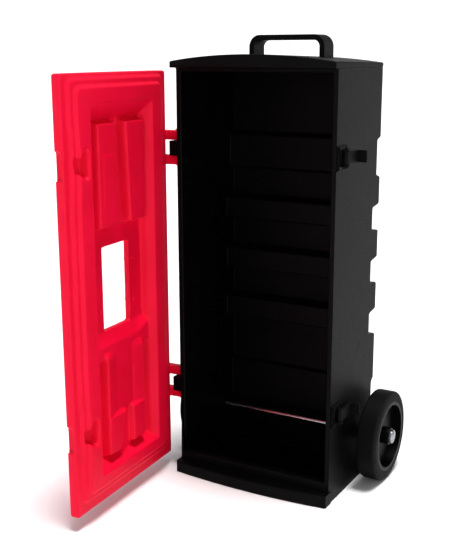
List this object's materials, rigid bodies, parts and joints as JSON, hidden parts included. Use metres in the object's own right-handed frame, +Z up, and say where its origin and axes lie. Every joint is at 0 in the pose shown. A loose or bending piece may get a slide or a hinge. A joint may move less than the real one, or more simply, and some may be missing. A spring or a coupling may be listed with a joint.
{
  "type": "wheeled fire extinguisher cabinet",
  "caption": "Upright moulded cabinet on rear wheels, with a side-hinged windowed door held by hook latches and a strap handle on its roof.",
  "frame": {"origin": "centre of the cabinet's width and depth, on the underside of its base, where it stands on the floor", "axes": "+Z up along the cabinet's height, -Y out of the door side, +X to the right of someone facing the door side"},
  "size_m": [0.5114, 0.6448, 0.972],
  "materials": {
    "black_plastic": "moulded polyethylene, fine satin texture",
    "red_plastic": "moulded polyethylene, satin",
    "clear_pane": "clear acrylic",
    "zinc_steel": "zinc plated",
    "black_steel": "black oxide",
    "bright_steel": "bright drawn steel",
    "latch_rubber": "moulded rubber",
    "tyre_rubber": "solid rubber"
  },
  "bodies": {
    "cabinet": {"cabinet_body": "black_plastic", "carry_handle": "black_plastic", "handle_bolts": "zinc_steel", "handle_washers": "zinc_steel", "axle": "bright_steel", "axle_bush_left": "black_plastic", "axle_bush_right": "black_plastic", "hub_washers": "zinc_steel", "axle_cap_left": "bright_steel", "axle_cap_right": "bright_steel", "hinge_pin_upper": "zinc_steel", "hinge_pin_lower": "zinc_steel", "pin_retainers": "zinc_steel", "latch_anchor_upper": "black_plastic", "latch_anchor_lower": "black_plastic", "anchor_screws": "black_steel", "latch_pins": "black_steel"},
    "door": {"door_panel": "red_plastic", "window_pane": "clear_pane", "pane_screws": "zinc_steel"},
    "latch_upper": {"latch_upper": "latch_rubber"},
    "latch_lower": {"latch_lower": "latch_rubber"},
    "wheel_left": {"wheel_rim_left": "black_plastic", "tyre_left": "tyre_rubber"},
    "wheel_right": {"wheel_rim_right": "black_plastic", "tyre_right": "tyre_rubber"}
  },
  "joints": [
    {"name": "door_hinge", "type": "hinge", "parent": "cabinet", "child": "door", "pos_m": [-0.195, -0.085, 0.47], "axis": [0, 0, 1], "range_deg": [-93, 87]},
    {"name": "latch_upper_pivot", "type": "hinge", "parent": "cabinet", "child": "latch_upper", "pos_m": [0.193, -0.082, 0.732], "axis": [0, 0, 1], "range_deg": [-180, 0]},
    {"name": "latch_lower_pivot", "type": "hinge", "parent": "cabinet", "child": "latch_lower", "pos_m": [0.193, -0.082, 0.195], "axis": [0, 0, 1], "range_deg": [-180, 0]},
    {"name": "wheel_left_spin", "type": "hinge", "parent": "cabinet", "child": "wheel_left", "pos_m": [-0.226, 0.079, 0.1], "axis": [1, 0, 0], "continuous": true},
    {"name": "wheel_right_spin", "type": "hinge", "parent": "cabinet", "child": "wheel_right", "pos_m": [0.226, 0.079, 0.1], "axis": [1, 0, 0], "continuous": true}
  ]
}
